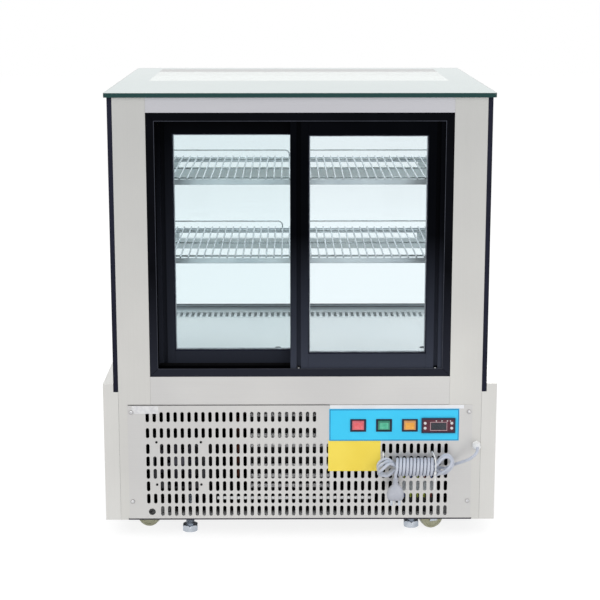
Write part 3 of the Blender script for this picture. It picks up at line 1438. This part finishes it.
@dataclass
class MachineBase:
    """Stainless cladding and slotted panel round the machinery, with its label, tape and screws."""

    fold_mm: float = 0.7
    films: tuple[Film, ...] = (
        Film("yellow_label", (64.5, 168.8, 184.9, 242.6), 0.35, LABEL_YELLOW),
        Film("white_tape", (-385.5, 307.0, -324.4, 325.1), 0.25, TAPE_WHITE),
        Film("film_strip", (68.3, 318.2, 375.4, 326.6), 0.25, FILM_WHITE),
        Film("panel_foot_trim", (-397.0, 51.6, 397.0, 54.6), 0.5, TRIM_NAVY),
        Film("panel_seam", (-394.0, 326.3, 68.0, 327.8), 0.15, SEAM_SHADE))
    rail_mm: Block = ((-192.0, -389.0, 99.0), (166.0, -385.0, 106.0))
    rail_edge_mm: float = 1.2
    post_mm: Block = ((0.0, -388.0, 56.0), (6.0, -385.4, 105.0))
    post_x_mm: tuple[tuple[str, float], ...] = (("left", -184.0), ("right", 146.0))
    post_edge_mm: float = 0.8
    riser_half_mm: float = 4.5
    # Points on each span of the riser's line, and round the pipe
    riser_steps: tuple[int, int] = (8, 16)
    riser_mm: list[Point] = field(default_factory=lambda: [
        (-117.5, -290, 281), (-128, -294, 281), (-139, -305, 277), (-145, -318, 264), (-145.5, -322, 240),
        (-145, -322, 200), (-146, -320, 160), (-145, -322, 128), (-139, -306, 113), (-128, -294, 108),
        (-117.5, -290, 108)])
    bracket_mm: Block = ((234.0, -356.0, 56.0), (313.75, -354.0, 141.0))
    bracket_edge_mm: float = 0.8
    terminal_pitch_mm: float = 15.95
    block_mm: Block = ((1.5, -371.0, 109.0), (14.45, -355.8, 137.0))
    block_edge_mm: float = 1.6
    sleeve_y_mm: float = -363.5
    sleeve_mm: tuple[Pair, ...] = ((0, 0), (3.2, 0), (3.2, 6), (2.3, 8), (2.3, 15), (1.6, 16), (0, 16))
    sleeve_steps: int = 16
    # Where each end's sleeves start, and whether they point up or down
    sleeve_ends: tuple[tuple[str, float, int], ...] = (("upper", 136.0, 1), ("lower", 110.0, -1))
    sleeves: tuple[tuple[Finish, Finish], ...] = (
        (SLEEVE_GREEN, SLEEVE_BLUE), (SLEEVE_BLUE, SLEEVE_GREEN), (SLEEVE_GREEN, SLEEVE_GREEN),
        (SLEEVE_RED, SLEEVE_GREEN), (SLEEVE_BLUE, SLEEVE_RED))
    washer_half_mm: float = 5.0
    screw_mm: tuple[Pair, ...] = (
        (0, 0), (3.9, 0), (3.9, -1.2), (3.3, -2.4), (2.2, -3.0), (1.2, -3.1), (0.8, -2.2), (0, -2.1))
    screw_steps: int = 32

    def build(self) -> None:
        """Dresses the base and its machinery and adds films, a rail, a riser, terminals and screw heads."""
        dress(STEEL_ALONG, "rear_panel")
        dress(STEEL_LINED, "base_cladding")
        dress(GALVANISED, "base_pan")
        dress(WASHER_GREY, "panel_screws")
        dress(BLACK_OXIDE, "fan_screws")
        dress(MACHINE_ENAMEL, "compressor")
        dress(FIN_STOCK, "condenser", "evaporator")
        dress(BLACK_PLASTIC, "fan_housing")
        dress(FAN_PLASTIC, "condenser_fan", "evaporator_fan")
        dress(COPPER, "refrigerant_pipes")
        ease_edges(self.fold_mm, "base_cladding")
        face = corners("rear_panel")[0][1]
        for film in self.films:
            film.stick(face)
        self.stand_rail()
        self.bend_riser()
        self.mount_terminals()
        self.head_screws(face)

    def stand_rail(self) -> None:
        """Stands a white rail along the coil's foot, on two posts that rise from the base pan."""
        rail = rounded_box(*self.rail_mm, self.rail_edge_mm) * MM
        grid_piece("coil_rail", rail, WHITE_NYLON)
        for side, x in self.post_x_mm:
            post = (rounded_box(*self.post_mm, self.post_edge_mm, steps=2) + [x, 0, 0]) * MM
            grid_piece(f"coil_rail_post_{side}", post, MACHINE_ENAMEL)

    def bend_riser(self) -> None:
        """Bends the copper riser beside the condenser: a round section carried along a smooth line.

        The section's first direction is the cross product of the line's direction with the Y axis, and its
        second the cross product of the line's direction with the first.
        """
        span_steps, ring_steps = self.riser_steps
        line = through(np.array(self.riser_mm), span_steps) * MM
        along = np.gradient(line, axis=0)
        along /= np.linalg.norm(along, axis=1)[:, None]
        side = np.cross(along, [0.0, 1.0, 0.0])
        side /= np.linalg.norm(side, axis=1)[:, None]
        other = np.cross(along, side)
        turn = turn_steps(ring_steps)[:, None]
        ring = side[:, None] * np.cos(turn) + other[:, None] * np.sin(turn)
        pipe = line[:, None] + ring * self.riser_half_mm * MM
        grid_piece("copper_riser", pipe, COPPER_AGED)

    def mount_terminals(self) -> None:
        """Stands a bracket on the base pan, with a row of terminal blocks and their coloured sleeves."""
        plate = rounded_box(*self.bracket_mm, self.bracket_edge_mm, steps=2) * MM
        grid_piece("terminal_bracket", plate, MACHINE_ENAMEL)
        first = self.bracket_mm[0][0]
        for i, finishes in enumerate(self.sleeves):
            left = first + self.terminal_pitch_mm * i
            block = (rounded_box(*self.block_mm, self.block_edge_mm) + [left, 0, 0]) * MM
            grid_piece(f"terminal_block_{i + 1}", block, TERMINAL_GREY)
            for (end, level, way), finish in zip(self.sleeve_ends, finishes):
                foot = np.array([left + self.terminal_pitch_mm / 2, self.sleeve_y_mm, level]) * MM
                tube = turned([(r, h * way) for r, h in self.sleeve_mm], foot, Axis.Z, self.sleeve_steps)
                grid_piece(f"terminal_sleeve_{end}_{i + 1}", tube, finish)

    def head_screws(self, face: float) -> None:
        """Gives each panel screw a domed head with a recess.

        Args:
            face: Where the panel's outer face stands along Y.
        """
        low, high = corners("panel_screws")
        reach = self.washer_half_mm * MM
        for side, x in (("left", low[0] + reach), ("right", high[0] - reach)):
            for level, z in (("lower", low[2] + reach), ("upper", high[2] - reach)):
                head = turned(self.screw_mm, (x, face, z), Axis.Y, self.screw_steps)
                grid_piece(f"panel_screw_head_{side}_{level}", head, SCREW_BRIGHT)


@dataclass
class RunningGear:
    """Casters with nylon wheels, and two hexagonal levelling feet."""

    fork_edge_mm: float = 0.5
    wheel_half_mm: float = 11.0
    # Radius of each point from the bore to the tread, and how far it lies in from the wheel's side
    wheel_mm: tuple[Pair, ...] = (
        (4.08, 0), (9.6, 0), (10.0, 0.4), (10.4, 2.2), (12.0, 2.6), (20.0, 2.6), (21.4, 2.2), (22.0, 0.4),
        (22.6, 0), (24.8, 0), (26.6, 0.7), (27.6, 2.0), (28.0, 4.2))
    wheel_steps: int = 72
    turn_deg: tuple[tuple[str, float], ...] = (
        ("rear_left", -18.0), ("rear_right", 19.0), ("front_left", 0.0), ("front_right", 0.0))
    foot_flats_mm: float = 17.0
    foot_steps: int = 96
    # Radius of the circle that cuts the hexagon back, and its level
    foot_head_mm: tuple[Pair, ...] = (
        (16.2, 0.0), (17.2, 0.5), (19.7, 2.0), (19.7, 14.0), (17.4, 15.7), (16.6, 16.0))
    shank_mm: tuple[Pair, ...] = ((10.0, 16.0), (10.0, 18.5))
    thread_from_mm: float = 19.0
    thread_pitch_mm: float = 2.5
    thread_mm: Pair = (9.0, 10.0)
    # Length of shank that is left plain above the thread
    plain_mm: float = 2.0

    def build(self) -> None:
        """Dresses the casters and makes the wheels and the feet."""
        dress(ZINC, "caster_plates")
        for corner, turn in self.turn_deg:
            dress(ZINC, f"{corner}_fork")
            ease_edges(self.fork_edge_mm, f"{corner}_fork")
            self.make_wheel(corner, math.radians(turn))
        for side in ("left", "right"):
            self.make_foot(side)

    def make_wheel(self, corner: str, turn: float) -> None:
        """Makes a nylon wheel with an eased tread, a webbed recess and a hub.

        Args:
            corner: Which caster it belongs to.
            turn: How far the caster is turned at rest, in radians.
        """
        low, high = corners(f"{corner}_wheel")
        side = [(radius, self.wheel_half_mm - inset) for radius, inset in self.wheel_mm]
        profile = side + [(radius, -level) for radius, level in side[::-1]]
        cos, sin = math.cos(turn), math.sin(turn)
        swivel = np.array([[cos, sin, 0], [-sin, cos, 0], [0, 0, 1]])
        grid = turned(profile, (0, 0, 0), Axis.Y, self.wheel_steps) @ swivel + (low + high) / 2
        piece = grid_piece(
            f"{corner}_nylon_wheel", grid, CREAM_NYLON, f"{corner}_roller", ring=True)
        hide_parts(f"{corner}_wheel")

    def make_foot(self, side: str) -> None:
        """Makes a foot: a chamfered hexagon head under a threaded shank.

        The radius is that of a hexagon cut back by a circle at each level, and the thread is a saw of
        circles.

        Args:
            side: Left or right.
        """
        low, high = corners(f"{side}_foot")
        centre = (low + high) / 2
        tall = (high[2] - low[2]) / MM
        pitch = self.thread_pitch_mm
        root = np.arange(self.thread_from_mm, tall - self.plain_mm, pitch)
        thread = np.column_stack(
            [np.tile(self.thread_mm, len(root)), np.add.outer(root, [0, pitch / 2]).ravel()])
        circle, level = np.vstack([self.foot_head_mm, self.shank_mm, thread, (self.thread_mm[0], tall)]).T
        flats = hexagon(self.foot_flats_mm, self.foot_steps, np.pi / 6)
        grid = carried_round(
            np.minimum(flats, circle[:, None]), level, (centre[0], centre[1], low[2]), Axis.Z)
        piece = grid_piece(f"{side}_levelling_foot", grid, ZINC, f"{side}_leveller")
        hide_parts(f"{side}_foot")


def main() -> None:
    """Builds the camera and the cord first, then every sub-assembly and the studio."""
    logging.basicConfig(level=logging.INFO, format="%(name)s: %(message)s")
    studio = Studio()
    studio.aim_camera()
    MainsLead().build()
    for assembly in (GlassBox(), ServiceSide(), Shelving(), ControlPanel(), MachineBase(), RunningGear()):
        assembly.build()
    studio.build()


if __name__ == "__main__":
    main()
